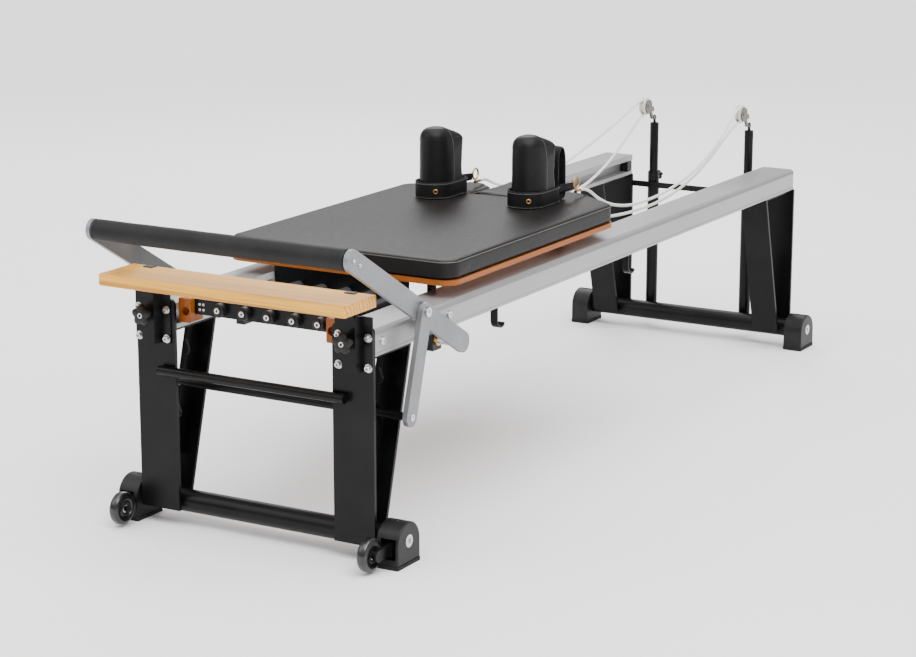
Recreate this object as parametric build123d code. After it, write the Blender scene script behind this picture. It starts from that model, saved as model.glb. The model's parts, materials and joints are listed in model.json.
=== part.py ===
from build123d import *
import math
import os

# Pilates reformer: a sliding carriage on two aluminium rails between raised legs, with a
# footbar, a lift-out standing platform, rope risers and shoulder rests.
# Millimetres. +X runs from the foot end to the head end, +Z up, z = 0 is the floor.
# Stations along the length are measured from the foot end of the rails; save() then moves
# every piece so that the origin is under the middle of the whole object.

# ---- driving dimensions ----
RAIL_LENGTH = 2300.0
RAIL_BOTTOM = 462.0
RAIL_TOP = 520.0
RAIL_IN = 212.0          # half distance between the rails
RAIL_OUT = 308.0         # half width over the rails
PLATE = 8.0              # thickness of the leg plates
LEG_WIDTH = 104.0        # width of the upright leg plate
BRACE_WIDTH = 78.0       # width of the slanted leg plate
TUBE_R = 26.0            # lower crossbars
TUBE_Z = 56.0
FOOT_TUBE_X = 30.0
HEAD_TUBE_X = RAIL_LENGTH - 24.0
BLOCK_OUT = 375.0        # half width over the foot blocks
BLOCK_WIDTH = 54.0
BLOCK_LENGTH = 93.0
BOARD_REACH = 131.0      # platform board ahead of the rails
FRONT_REACH = 147.0      # footbar roller ahead of the rails
REAR_REACH = 65.5        # riser knobs behind the rails

PIVOT = (332.0, 429.0)   # footbar shaft, X and Z
ROLLER = (-123.0, 697.0)  # footbar roller, X and Z
STRUT_TOP = (151.0, 535.7)
STRUT_ROD = (85.0, 315.0)
ARM_OUT = 338.0          # half width over the footbar arms
ARM_THICK = 10.0
STRUT_THICK = 12.0

BOARD_BOTTOM = 550.0     # carriage board
BOARD_TOP = 562.0
PAD_TOP = 607.0
CARRIAGE_FRONT = 331.0
CARRIAGE_HALF = 306.0
WHEEL_R = 17.0           # carriage wheels
WHEEL_STATIONS = (420.0, 1040.0)
TRACK_FLOOR = 472.0
SPRING_Y = (106.0, 40.0, -26.0, -92.0, -158.0)
SPRING_Z = 507.0

RISER_X = 2325.0
RISER_Y = 153.0
SHEAVE = (2258.0, 676.0)  # X and Z
SHEAVE_WRAP = 21.0        # rope centre line round the sheave
ROPE_R = 4.0

SIDES = (1, -1)           # +1 is the left rail, -1 the right rail
X_FOOT = (FRONT_REACH - RAIL_LENGTH - REAR_REACH) / 2
os.makedirs("parts", exist_ok=True)


# ---- helpers ----
def block(x0, x1, y0, y1, z0, z1):
    """A box between two corners."""
    return Pos((x0 + x1) / 2, (y0 + y1) / 2, (z0 + z1) / 2) * Box(abs(x1 - x0), abs(y1 - y0), z1 - z0)


def rod_x(y, z, r, x0, x1):
    return Pos((x0 + x1) / 2, y, z) * Rot(0, 90, 0) * Cylinder(r, abs(x1 - x0))


def rod_y(x, z, r, y0, y1):
    return Pos(x, (y0 + y1) / 2, z) * Rot(90, 0, 0) * Cylinder(r, abs(y1 - y0))


def rod_z(x, y, r, z0, z1):
    return Pos(x, y, (z0 + z1) / 2) * Cylinder(r, z1 - z0)


def side_profile(points, y0, y1):
    """A flat outline in X and Z, made solid from y0 to y1."""
    face = make_face(Polyline([Vector(x, y0, z) for x, z in points], close=True))
    return extrude(face, amount=abs(y1 - y0), dir=(0, 1 if y1 > y0 else -1, 0))


def plan_profile(points, z0, z1):
    """A flat outline in X and Y, made solid from z0 to z1."""
    face = make_face(Polyline([Vector(x, y, z0) for x, y in points], close=True))
    return extrude(face, amount=z1 - z0, dir=(0, 0, 1))


def bar(start, end, width, y0, y1):
    """A flat bar with round ends between two points in X and Z."""
    dx, dz = end[0] - start[0], end[1] - start[1]
    long = math.hypot(dx, dz)
    nx, nz = -dz / long * width / 2, dx / long * width / 2
    corners = [
        (start[0] + nx, start[1] + nz), (end[0] + nx, end[1] + nz),
        (end[0] - nx, end[1] - nz), (start[0] - nx, start[1] - nz)]
    body = side_profile(corners, y0, y1)
    return body + rod_y(*start, width / 2, y0, y1) + rod_y(*end, width / 2, y0, y1)


def along(start, end, share):
    return tuple(a + (b - a) * share for a, b in zip(start, end))


def mirrored(shape):
    """The shape and its mirror image on the other side of the reformer."""
    return [shape, mirror(shape, about=Plane.XZ)]


def one_side(shape, side):
    return shape if side > 0 else mirror(shape, about=Plane.XZ)


def turned(shape):
    """The shape at the foot end, copied to the head end."""
    return Pos(RAIL_LENGTH, 0, 0) * mirror(shape, about=Plane.YZ)


def rounded(shape, axis, radius):
    """The shape with its edges along one axis rounded."""
    return fillet(shape.edges().filter_by(axis), radius)


def solids_of(shapes):
    return [solid for shape in shapes for solid in shape.solids()]


def save(name, *shapes):
    moved = [Pos(X_FOOT, 0, 0) * solid for solid in solids_of(shapes)]
    whole = moved[0] if len(moved) == 1 else Compound(children=moved)
    export_step(whole, f"parts/{name}.step")


def screw_head(radius, thick):
    """A socket screw's head along +X, its open face at x = 0."""
    body = rod_x(0, 0, radius, 0, thick)
    body = chamfer(body.edges().filter_by(GeomType.CIRCLE).group_by(Axis.X)[0], thick * 0.2)
    hexagon = Plane.YZ * RegularPolygon(radius * 0.5, 6)
    return body - extrude(hexagon, amount=thick * 0.6)


# ---- rails ----
def rail():
    """Left rail: a hollow box outside, an open wheel track inside, a bevelled top edge."""
    outline = [
        (RAIL_IN, RAIL_BOTTOM), (RAIL_OUT, RAIL_BOTTOM), (RAIL_OUT, RAIL_BOTTOM + 6),
        (RAIL_OUT - 1.5, RAIL_BOTTOM + 7), (RAIL_OUT - 1.5, RAIL_TOP - 13), (RAIL_OUT, RAIL_TOP - 12),
        (RAIL_OUT - 3, RAIL_TOP - 4.5), (RAIL_OUT - 9, RAIL_TOP), (RAIL_IN, RAIL_TOP),
        (RAIL_IN, RAIL_TOP - 16), (RAIL_IN + 4, RAIL_TOP - 16), (RAIL_IN + 4, RAIL_TOP - 11),
        (RAIL_IN + 26, RAIL_TOP - 11), (RAIL_IN + 26, TRACK_FLOOR), (RAIL_IN, TRACK_FLOOR)]
    hollow = [
        (RAIL_IN + 30, RAIL_BOTTOM + 4), (RAIL_OUT - 6, RAIL_BOTTOM + 4),
        (RAIL_OUT - 6, RAIL_TOP - 12), (RAIL_OUT - 12, RAIL_TOP - 4), (RAIL_IN + 30, RAIL_TOP - 4)]
    section = make_face(Polyline([Vector(0, y, z) for y, z in outline], close=True))
    inner = make_face(Polyline([Vector(0, y, z) for y, z in hollow], close=True))
    return extrude(section - inner, amount=RAIL_LENGTH, dir=(1, 0, 0))


def rail_plug():
    """Head-end plug that closes the box and blocks the wheel track."""
    cap = block(RAIL_LENGTH - 12, RAIL_LENGTH, RAIL_IN + 31, RAIL_OUT - 7, RAIL_BOTTOM + 5, RAIL_TOP - 13)
    stop = block(RAIL_LENGTH - 30, RAIL_LENGTH - 2, RAIL_IN + 1, RAIL_IN + 25, TRACK_FLOOR + 1, RAIL_TOP - 17)
    return [cap, rounded(stop, Axis.Y, 4)]


def end_block():
    """Wooden block that closes the track at the foot end, with a counterbored bolt hole."""
    body = rounded(block(14, 60, 179, RAIL_IN - 0.5, RAIL_BOTTOM + 14, RAIL_TOP + 11), Axis.X, 3)
    return body - rod_x(193, 502, 10, 14, 26) - rod_x(193, 502, 4.2, 14, 60)


# ---- legs ----
def brace_x(z):
    """Front face of the slanted leg plate at height z."""
    return 59.0 + 0.2706 * (z - 80.0)


def leg(upright_top, tube_x):
    """An upright plate and a slanted plate, joined under the rail and welded to the tube."""
    middle = (RAIL_IN + RAIL_OUT) / 2
    half = LEG_WIDTH / 2
    upright = block(-PLATE, 0, middle - half, middle + half, 40, upright_top)
    if upright_top > RAIL_BOTTOM:
        top = upright.edges().filter_by(Axis.X).group_by(Axis.Z)[-1]
        upright = fillet(top, 14)
    high, low = RAIL_BOTTOM, 44.0
    slope = [(brace_x(high), high), (brace_x(high) + PLATE, high), (brace_x(low) + PLATE, low), (brace_x(low), low)]
    brace = side_profile(slope, middle - BRACE_WIDTH / 2, middle + BRACE_WIDTH / 2)
    saddle = block(0, brace_x(high), middle - BRACE_WIDTH / 2, middle + BRACE_WIDTH / 2, RAIL_BOTTOM - PLATE, high)
    return upright + brace + saddle - rod_y(tube_x, TUBE_Z, TUBE_R, 0, BLOCK_OUT)


def foot_leg():
    return leg(RAIL_TOP + 10, FOOT_TUBE_X)


def head_leg():
    """The leg turned round: its upright plate stands flush with the rail's end."""
    shape = leg(RAIL_BOTTOM, RAIL_LENGTH - HEAD_TUBE_X - PLATE)
    largest = sorted(shape.solids(), key=lambda solid: solid.volume)[-1]
    return Pos(-PLATE, 0, 0) * turned(largest)


def notched_plate():
    """Ladder of hooks inside the foot leg that holds the footbar's rod."""
    deep, z_low, z_high, pitch = 46.0, 150.0, 440.0, 70.0
    body = side_profile([
        (brace_x(z_low), z_low), (brace_x(z_high), z_high),
        (brace_x(z_high) - deep, z_high), (brace_x(z_low) - deep, z_low)], 256, 262)
    swing, lift = math.radians(166), math.radians(114)
    seat, reach = 9.6, 120.0
    for step in (-2, -1, 0, 1):
        z = STRUT_ROD[1] + step * pitch
        x = STRUT_ROD[0] + step * pitch * 0.2706
        low = (x - seat * math.sin(swing), z + seat * math.cos(swing))
        high = (x + seat * math.sin(lift), z - seat * math.cos(lift))
        far_low = (low[0] + reach * math.cos(swing), low[1] + reach * math.sin(swing))
        far_high = (high[0] + 62 * math.cos(lift), high[1] + 62 * math.sin(lift))
        opening = side_profile([low, far_low, (far_low[0], far_high[1]), far_high, high], 250, 268)
        body = body - opening - rod_y(x, z, seat, 250, 268)
    largest = sorted(body.solids(), key=lambda solid: solid.volume)[-1]
    return largest


# ---- feet, crossbars and transport wheels ----
def foot_block(tube_x, pocket):
    """D-shaped block on the tube's end; the foot-end ones have a pocket for a wheel arm."""
    inner, r = BLOCK_OUT - BLOCK_WIDTH, BLOCK_LENGTH / 2
    x0, x1 = tube_x - r, tube_x + r
    body = block(x0, x1, inner, BLOCK_OUT, 8, 52) + rod_y(tube_x, 52, r, inner, BLOCK_OUT)
    body = body - block(x0 - 1, x1 + 1, inner - 1, BLOCK_OUT + 1, 0, 8)
    outer_edges = body.faces().sort_by(Axis.Y)[-1].edges()
    body = fillet(outer_edges, 3)
    body -= rod_y(tube_x, TUBE_Z, TUBE_R, inner, BLOCK_OUT - 18)
    body -= rod_y(tube_x, TUBE_Z, 15, BLOCK_OUT - 5, BLOCK_OUT)
    body -= rod_y(tube_x, TUBE_Z, 6, BLOCK_OUT - 18, BLOCK_OUT)
    body -= rod_z(tube_x, BLOCK_OUT - 28, 5.5, 92, 100)
    if pocket:
        body -= block(x0, x0 + 18, inner + 10, BLOCK_OUT - 6, 22, 68)
    return body


def foot_pad(tube_x):
    r = BLOCK_LENGTH / 2 + 2
    pad = block(tube_x - r, tube_x + r, BLOCK_OUT - BLOCK_WIDTH - 2, BLOCK_OUT + 1, 0, 8)
    return rounded(pad, Axis.Z, 5)


def block_bolt(tube_x):
    disc = rod_y(tube_x, TUBE_Z, 14.2, BLOCK_OUT - 5, BLOCK_OUT + 1) + rod_y(
        tube_x, TUBE_Z, 5.8, BLOCK_OUT - 26, BLOCK_OUT - 5)
    recess = Pos(tube_x, BLOCK_OUT + 1, TUBE_Z) * Rot(90, 0, 0) * extrude(RegularPolygon(7, 6), amount=4)
    return disc - recess


WHEEL_X, WHEEL_Y, WHEEL_Z = -60.0, 330.0, 43.0


def wheel_arm():
    """Bracket from the block's pocket that carries the transport wheel's axle."""
    tongue = block(FOOT_TUBE_X - BLOCK_LENGTH / 2, 1, 347, 361, 30, 60)
    arm = bar((FOOT_TUBE_X - BLOCK_LENGTH / 2, 45), (WHEEL_X, WHEEL_Z), 26, 347, 355)
    axle = rod_y(WHEEL_X, WHEEL_Z, 4, 316, 347)
    head = rod_y(WHEEL_X, WHEEL_Z, 8, 311, 316)
    return arm + tongue + axle + head


def transport_wheel():
    """Skate wheel with a bored hub."""
    tyre = rod_y(WHEEL_X, WHEEL_Z, 38, 318, 342)
    tyre = fillet(tyre.edges().filter_by(GeomType.CIRCLE), 8)
    hub_hole = rod_y(WHEEL_X, WHEEL_Z, 19, 317, 343)
    hub = rod_y(WHEEL_X, WHEEL_Z, 19, 319.5, 340.5) - rod_y(WHEEL_X, WHEEL_Z, 4.08, 317, 345)
    return [tyre - hub_hole, hub]


def screws_in_frame():
    """Bolts and screws fixed in the frame: blocks, rails and legs."""
    items = []
    for tube_x in (FOOT_TUBE_X, HEAD_TUBE_X):
        items.append(block_bolt(tube_x))
        items.append(Pos(tube_x, BLOCK_OUT - 28, 97) * Rot(0, 90, 0) * screw_head(5, 5))
    for x in (36, 319):
        items.append(Pos(x, RAIL_OUT + 3.5, 491) * Rot(0, 0, -90) * screw_head(9, 5))
    return [item for shape in items for item in mirrored(shape)]


# ---- platform ----
POST_Y = 264.0


def platform_bracket():
    """Hat section bolted to the leg's front plate; the platform's post slides down it."""
    shell = plan_profile([(-PLATE, 240), (-31, 247), (-31, 281), (-PLATE, 288)], 430, 552)
    inner = plan_profile([(-PLATE, 244), (-28, 250), (-28, 278), (-PLATE, 284)], 429, 553)
    flanges = block(-PLATE - 3, -PLATE, 217, 312, 430, 552)
    walls = shell - inner
    flanges -= block(-PLATE - 4, -PLATE, 243, 285, 429, 553)
    return walls + flanges - rod_x(POST_Y, 497, 5.1, -32, -27)


def platform_bolts():
    items = []
    for y in (227, 302):
        for z in (440, 506):
            washer = rod_x(y, z, 9.5, -PLATE - 5, -PLATE - 3)
            screw = Pos(-PLATE - 12, y, z) * screw_head(7, 7)
            items.append(screw + washer)
    return items


POST_BOX = (-27.0, -9.5, POST_Y - 12, POST_Y + 12)


def platform_post():
    x0, x1, y0, y1 = POST_BOX
    post = block(x0, x1, y0, y1, 436, 603) - block(x0 + 2.5, x1 - 2.5, y0 + 2.5, y1 - 2.5, 436, 600)
    shelf = block(x0 - 60, x1, y0 + 4, y1 - 4, 570, 574)
    return post + shelf - block(x0 + 2.5, x1 - 2.5, y0 + 2.5, y1 - 2.5, 566, 600)


def platform_board():
    board = block(-BOARD_REACH, -5, -320, 320, 574, 601)
    board = rounded(board, Axis.Z, 4)
    board = fillet(board.edges().filter_by(Axis.Y), 2.5)
    x0, x1, y0, y1 = POST_BOX
    for side in SIDES:
        slot = block(x0 - 0.3, x1 + 0.3, side * (y0 - 0.3), side * (y1 + 0.3), 570, 610)
        board -= slot
    return board


def star_knob(x, y, z, radius, thick, neck, stem):
    """Five-lobed knob whose stem points to +X; its stem's tip is at x."""
    back = x - stem - neck - thick
    star = rod_x(y, z, radius * 0.62, back, back + thick)
    for turn in range(5):
        angle = math.radians(90 + 72 * turn)
        lobe_y, lobe_z = y + math.cos(angle) * radius * 0.72, z + math.sin(angle) * radius * 0.72
        star += rod_x(lobe_y, lobe_z, radius * 0.29, back, back + thick)
    star += rod_x(y, z, radius * 0.36, back + thick, back + thick + neck)
    star += rod_x(y, z, 5, back + thick + neck, x)
    return star - rod_x(y, z, radius * 0.26, back, back + 2)


# ---- footbar ----
def bearing():
    """Block under the rail and the bronze bush in it."""
    x, z = PIVOT
    body = rounded(block(x - 19, x + 19, 246, 268, 402, RAIL_BOTTOM), Axis.Y, 2)
    bush = rod_y(x, z, 16, 246, 274) - rod_y(x, z, 12.05, 245, 275)
    return body - rod_y(x, z, 16, 245, 275), bush


def footbar_arm():
    arm = bar(PIVOT, ROLLER, 48, ARM_OUT - ARM_THICK, ARM_OUT)
    arm -= rod_y(*STRUT_TOP, 6.05, ARM_OUT - ARM_THICK - 1, ARM_OUT + 1)
    return arm


def pivot_stub():
    """Shaft welded to the arm's tail, running in the bush."""
    return rod_y(*PIVOT, 12, 250, ARM_OUT - ARM_THICK)


def footbar_screws():
    items = []
    for share in (0.0, 0.05):
        x, z = along(ROLLER, PIVOT, share)
        items.append(Pos(x, ARM_OUT + 3, z) * Rot(0, 0, -90) * screw_head(4.5, 3))
    return items


def strut():
    y0 = ARM_OUT + 1
    y1 = y0 + STRUT_THICK
    shape = bar(STRUT_TOP, STRUT_ROD, 42, y0, y1)
    shape -= rod_y(*STRUT_TOP, 6.05, y0 - 1, y1 + 1)
    return shape - rod_y(*STRUT_ROD, 5, y0 - 1, y1 + 1)


def strut_pivot():
    """Shoulder bolt that joins the strut to the arm and stays in the arm."""
    y1 = ARM_OUT + 1 + STRUT_THICK
    bolt = rod_y(*STRUT_TOP, 6, ARM_OUT - ARM_THICK, y1) + rod_y(*STRUT_TOP, 11, y1 + 0.4, y1 + 5)
    bolt += rod_y(*STRUT_TOP, 6, y1, y1 + 1)
    return bolt - rod_y(*STRUT_TOP, 5, y1 + 2.5, y1 + 5)


def strut_foot_bolt():
    y0, y1 = ARM_OUT + 1, ARM_OUT + 1 + STRUT_THICK
    bolt = rod_y(*STRUT_ROD, 5, y0, y1) + rod_y(*STRUT_ROD, 8, y1, y1 + 2)
    return bolt - rod_y(*STRUT_ROD, 4, y1 + 0.5, y1 + 2)


# ---- springs ----
def spring_bar():
    body = rounded(block(29, 41, -178.5, 178.5, 494, 529), Axis.Y, 2)
    for y in SPRING_Y:
        body -= rod_x(y, SPRING_Z + 6, 4, 28, 42)
    return body


def spring_anchor(y):
    """Knob on the bar's front, its screw and the eye behind the bar for one spring."""
    z = SPRING_Z + 6
    knob = rod_x(y, z, 15, 12, 28.8)
    knob = fillet(knob.edges().filter_by(GeomType.CIRCLE).group_by(Axis.X)[0], 4)
    knob += rod_x(y, z, 4, 28.8, 46)
    ring = rod_x(y, z, 8, 10, 12) - rod_x(y, z, 4, 9, 12)
    return knob + ring + rod_x(y, SPRING_Z, 9, 41.2, 50)


def spring(y):
    return rod_x(y, SPRING_Z, 13, 50.5, 349)


# ---- carriage ----
def carriage_outline(gap):
    """Plan of the carriage: straight sides, two ears behind and a bay for the headrest."""
    half = CARRIAGE_HALF
    front = CARRIAGE_FRONT
    points = [
        (front, 0), (front, half), (1136, half), (1246, 160), (1246, 132),
        (1203, 84 + gap), (1095, 84 + gap), (1095, 0)]
    outline = points + [(x, -y) for x, y in reversed(points[1:-1])]
    return outline


def carriage_slab(z0, z1, front_radius, ear_radius):
    slab = plan_profile(carriage_outline(0), z0, z1)
    upright = slab.edges().filter_by(Axis.Z)
    slab = fillet(upright.group_by(Axis.X)[0], front_radius)
    shoulders = slab.edges().filter_by(Axis.Z).filter_by_position(Axis.X, 1120, 1150)
    slab = fillet(shoulders, ear_radius)
    ears = slab.edges().filter_by(Axis.Z).filter_by_position(Axis.X, 1240, 1250)
    slab = fillet(ears, 12)
    for hole in mirrored(rest_post(12.4, PAD_TOP)):
        slab -= hole
    return slab


def headrest_outline():
    return [(1112, -79), (1290, -79), (1318, -50), (1318, 50), (1290, 79), (1112, 79)]


def headrest_slab(z0, z1):
    slab = plan_profile(headrest_outline(), z0, z1)
    return fillet(slab.edges().filter_by(Axis.Z), 10)


REST_BACK, REST_SIDE = 1088.0, 1000.0
REST_Y0, REST_Y1 = 92.0, 174.0
POST_X = 1040.0


def rest_post(radius, top):
    """Post of a shoulder rest, or its hole, down through the mattress and the board."""
    return rod_z(POST_X, (REST_Y0 + REST_Y1) / 2, radius, BOARD_BOTTOM, top)


def shoulder_rest():
    """Upright pad with a round front and a flat back, on a post through the mattress."""
    middle, half = (REST_Y0 + REST_Y1) / 2, (REST_Y1 - REST_Y0) / 2
    nose = Pos(REST_SIDE, middle, PAD_TOP + 90) * Cylinder(half, 179)
    body = block(REST_SIDE, REST_BACK, REST_Y0, REST_Y1, PAD_TOP + 0.5, PAD_TOP + 179.5) + nose
    top = body.faces().sort_by(Axis.Z)[-1].edges()
    return fillet(top, 26) + rest_post(12, PAD_TOP + 1)


def loop_band():
    """Padded hand loop hung round the rest's foot."""
    middle = (REST_Y0 + REST_Y1) / 2
    half = (REST_Y1 - REST_Y0) / 2

    def tube(grow):
        low, high = PAD_TOP + 1, PAD_TOP + 44
        nose = rod_z(REST_SIDE, middle, half + grow, low, high)
        return nose + block(REST_SIDE, REST_BACK + grow, middle - half - grow, middle + half + grow, low, high)
    return tube(9) - tube(0.8)


def band_arch():
    """Part of the right-hand loop that stands up behind its rest."""
    y0, y1, back, thick = -168.0, -130.0, REST_BACK + 10, 8.0
    low, high, reach = PAD_TOP + 2, PAD_TOP + 96, 44.0

    def lobe(shrink):
        x0, x1 = back + shrink, back + reach - shrink
        round_r = (x1 - x0) / 2
        body = block(x0, x1, y0, y1, low + shrink, high)
        crown = Plane.XZ.offset(-y1) * Pos((x0 + x1) / 2, high) * Ellipse(round_r, round_r * 1.9)
        return body + extrude(crown, amount=y1 - y0)
    return lobe(0) - lobe(thick)


RINGS = ((1164.0, -185.0, 645.0), (1176.0, 114.0, 641.0))  # centres of the two D-rings


def d_ring(x, y, z):
    """Brass D-ring and snap clip at the end of a hand loop."""
    ring = Pos(x, y, z) * Rot(90, 0, 0) * Torus(14, 2.4)
    clip = rod_x(y, z - 20.5, 3.6, x - 4, x + 24)
    return [ring, clip]


def loop_tail(x, y, z):
    """Webbing from the corner of a band to its D-ring, lying edge on behind the rest."""
    side = 1 if y > 0 else -1
    start_y = side * (134 if side > 0 else 176)
    start = (REST_BACK + 4, start_y)
    dx, dy = x - 17.5 - start[0], y - start[1]
    long = math.hypot(dx, dy)
    nx, ny = -dy / long * 1.6, dx / long * 1.6
    corners = [
        (start[0] + nx, start[1] + ny), (start[0] + dx + nx, start[1] + dy + ny),
        (start[0] + dx - nx, start[1] + dy - ny), (start[0] - nx, start[1] - ny)]
    return plan_profile(corners, z - 16, z + 8)


def bands_with_tails():
    right, left = RINGS
    return [loop_band() + loop_tail(*left), mirror(loop_band(), about=Plane.XZ) + loop_tail(*right)]


def wheel_hanger(x):
    """Bracket under the board with the axle of one pair of wheels."""
    plate = block(x - 24, x + 24, 150, 205, BOARD_BOTTOM - 5, BOARD_BOTTOM)
    cheek = block(x - 16, x + 16, 199, 205, 478, BOARD_BOTTOM)
    axle = rod_y(x, TRACK_FLOOR + 0.3 + WHEEL_R, 5, 205, 236)
    return plate + cheek + axle


def wheel_pair(x):
    """Two track wheels that turn on the axle ends of one pair of hangers."""
    z = TRACK_FLOOR + 0.3 + WHEEL_R
    wheel = rod_y(x, z, WHEEL_R, 219, 235) - rod_y(x, z, 5.08, 218, 237)
    wheel = chamfer(wheel.edges().filter_by(GeomType.CIRCLE).filter_by(
        lambda edge: edge.radius > 10), 1.5)
    return mirrored(wheel)


def hook_bar():
    """Angle under the carriage's front edge that the springs hook into."""
    upright = block(349.5, 355, -182, 182, 492, BOARD_BOTTOM)
    return upright + block(355, 380, -182, 182, BOARD_BOTTOM - 6, BOARD_BOTTOM)


HINGE_X, HINGE_Z, HINGE_R = 1103.5, 545.5, 3.5


def hinge_fixed():
    """Carriage half of the headrest's hinge: leaf, middle knuckle and pin."""
    leaf = block(1060, HINGE_X - 4, -60, 60, BOARD_BOTTOM - 2, BOARD_BOTTOM)
    leaf += block(HINGE_X - 6, HINGE_X, -20, 20, BOARD_BOTTOM - 2, BOARD_BOTTOM)
    return leaf + rod_y(HINGE_X, HINGE_Z, HINGE_R, -20, 20) + rod_y(HINGE_X, HINGE_Z, 1.6, -61, 61)


def hinge_moving():
    """Headrest half of the hinge: leaf and two outer knuckles."""
    leaf = block(HINGE_X + 4, 1150, -60, 60, BOARD_BOTTOM - 2, BOARD_BOTTOM)
    for side in SIDES:
        leaf += block(HINGE_X, HINGE_X + 6, side * 20.4, side * 60, BOARD_BOTTOM - 2, BOARD_BOTTOM)
        leaf += rod_y(HINGE_X, HINGE_Z, HINGE_R, side * 20.4, side * 60)
    return leaf - rod_y(HINGE_X, HINGE_Z, 1.66, -62, 62)


def rope_cleat(side):
    return rounded(block(1092, 1128, side * 138, side * 162, 530, BOARD_BOTTOM), Axis.X, 3)


# ---- risers, pulleys and ropes ----
def riser_sleeve():
    """Outer tube from the lower crossbar up past the upper one, with a lug to each."""
    tube = rod_z(RISER_X, RISER_Y, 17, 44, 471) - rod_z(RISER_X, RISER_Y, 13.1, 44, 472)
    nut = rod_x(RISER_Y, 455, 9, RISER_X + 14, RISER_X + 22)
    lug = block(HEAD_TUBE_X + 10, RISER_X - 14, RISER_Y - 12, RISER_Y + 12, 46, 66)
    lug -= rod_y(HEAD_TUBE_X, TUBE_Z, TUBE_R, 0, 300)
    body = tube + nut + lug
    return body - rod_x(RISER_Y, 455, 5.1, RISER_X + 10, RISER_X + 23) - rod_z(RISER_X, RISER_Y, 13.1, 44, 472)


def riser_tube():
    """Inner telescoping tube with a closed top and an eye bolt."""
    x, y = RISER_X, RISER_Y
    tube = rod_z(x, y, 13, 300, 618) - rod_z(x, y, 10, 300, 614)
    tube = tube + rod_z(x, y, 4, 618, 626)
    eye = Pos(x, y, 633) * Rot(90, 0, 0) * Torus(7, 2.2)
    return tube + eye


def pulley_block():
    """Two cheeks, their spacer and the tail that hangs in the riser's eye."""
    x, z = SHEAVE
    cheeks = rod_y(x + 6, z - 2, 20, RISER_Y - 12, RISER_Y + 12)
    cheeks -= rod_y(x, z, 40, RISER_Y - 8.5, RISER_Y + 8.5)
    tip = (RISER_X - 19, 637.0)
    tail = bar((x + 33, z - 12), tip, 10, RISER_Y - 3, RISER_Y + 3)
    ears = bar((x + 18, z - 7), (x + 34, z - 12), 14, RISER_Y - 11.5, RISER_Y + 11.5)
    ears -= rod_y(x, z, 26.5, RISER_Y - 8.5, RISER_Y + 8.5)
    axle = rod_y(x, z, 5, RISER_Y - 13.5, RISER_Y + 13.5)
    link = Pos(RISER_X - 7, RISER_Y, 633) * Torus(7, 2.2)
    return cheeks + tail + ears + axle + link


def sheave():
    x, z = SHEAVE
    wheel = rod_y(x, z, 25, RISER_Y - 7.5, RISER_Y + 7.5)
    half = ROPE_R + 0.8
    groove = Pos(x, RISER_Y, z) * Rot(90, 0, 0) * Torus(SHEAVE_WRAP, half)
    mouth = rod_y(x, z, 30, RISER_Y - half, RISER_Y + half) - rod_y(
        x, z, SHEAVE_WRAP, RISER_Y - half, RISER_Y + half)
    return wheel - groove - mouth - rod_y(x, z, 5.08, RISER_Y - 9, RISER_Y + 9)


# Rope routes: out of the clip, up to the pulley, round it and back to the cleat.
ROPE_RIGHT_OUT = [
    (1189.5, -185, 624.5), (1214, -182, 622), (1244, -176, 615), (1284, -167, 602), (1340, -158, 576),
    (1430, -150, 543), (1535, -151, 523), (1634, -150, 519), (1735, -151, 522), (1833, -152, 533),
    (1925, -153, 550), (2011, -152, 575), (2092, -153, 607), (2163, -152, 643), (2208, -153, 674)]
ROPE_RIGHT_BACK = [
    (2234, -153, 653), (2160, -153, 623), (2075, -151, 583), (1985, -150, 548), (1886, -148, 521),
    (1782, -147, 505), (1675, -147, 500), (1568, -149, 502), (1462, -150, 509), (1360, -149, 520),
    (1262, -150, 530), (1185, -151, 537), (1129, -150, 540)]
ROPE_LEFT_OUT = [
    (1201.5, 114, 620.5), (1222, 118, 619), (1250, 127, 615), (1288, 139, 605), (1344, 149, 585),
    (1436, 151, 561), (1545, 151, 549), (1648, 150, 562), (1750, 151, 582), (1852, 151, 603),
    (1950, 152, 624), (2044, 152, 646), (2130, 153, 669), (2199, 153, 690)]
ROPE_LEFT_BACK = [
    (2234, 153, 650), (2164, 153, 614), (2083, 152, 571), (1993, 151, 533), (1896, 149, 506),
    (1793, 148, 491), (1686, 147, 487), (1578, 148, 491), (1470, 149, 501), (1366, 150, 514),
    (1266, 149, 527), (1188, 150, 536), (1129, 150, 540)]


def rope_points(outward, back, side):
    """Both runs joined by a half turn round the sheave."""
    x, z = SHEAVE
    y = side * RISER_Y
    far = x + SHEAVE_WRAP
    wrap = [(x - 14, y, z + SHEAVE_WRAP - 1), (far, y, z + SHEAVE_WRAP), (far, y, z - SHEAVE_WRAP)]
    return [Vector(*point) for point in outward + wrap + back]


def rope(name, outward, back, side):
    """Rope of one side: straight runs joined by tangent arcs."""
    points = rope_points(outward, back, side)
    radii = []
    for before, corner, after in zip(points, points[1:], points[2:]):
        first, second = corner - before, after - corner
        half_turn = math.radians(first.get_angle(second)) / 2
        shorter = min(first.length, second.length)
        tight = SHEAVE_WRAP - 0.1
        radius = 0.45 * shorter / math.tan(half_turn)
        radii.append(tight if half_turn > math.radians(35) else radius)
    path = FilletPolyline(*points, radius=radii)
    tube = sweep(Plane(path @ 0, z_dir=path % 0) * Circle(ROPE_R), path=path)
    print(name, "length", round(path.length), "volume share", round(tube.volume / (
        math.pi * ROPE_R ** 2 * path.length), 4), "radii", [round(r) for r in radii])
    return tube


def rail_hook(x):
    """Bent strip under the right rail for hanging the spare loops."""
    strip = block(x, x + 4, -306, -288, 432, RAIL_BOTTOM)
    bend = rod_y(x + 22, 432, 22, -306, -288) - rod_y(x + 22, 432, 18, -307, -287)
    bend = bend & block(x, x + 36, -307, -287, 400, 432)
    return strip + bend


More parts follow.
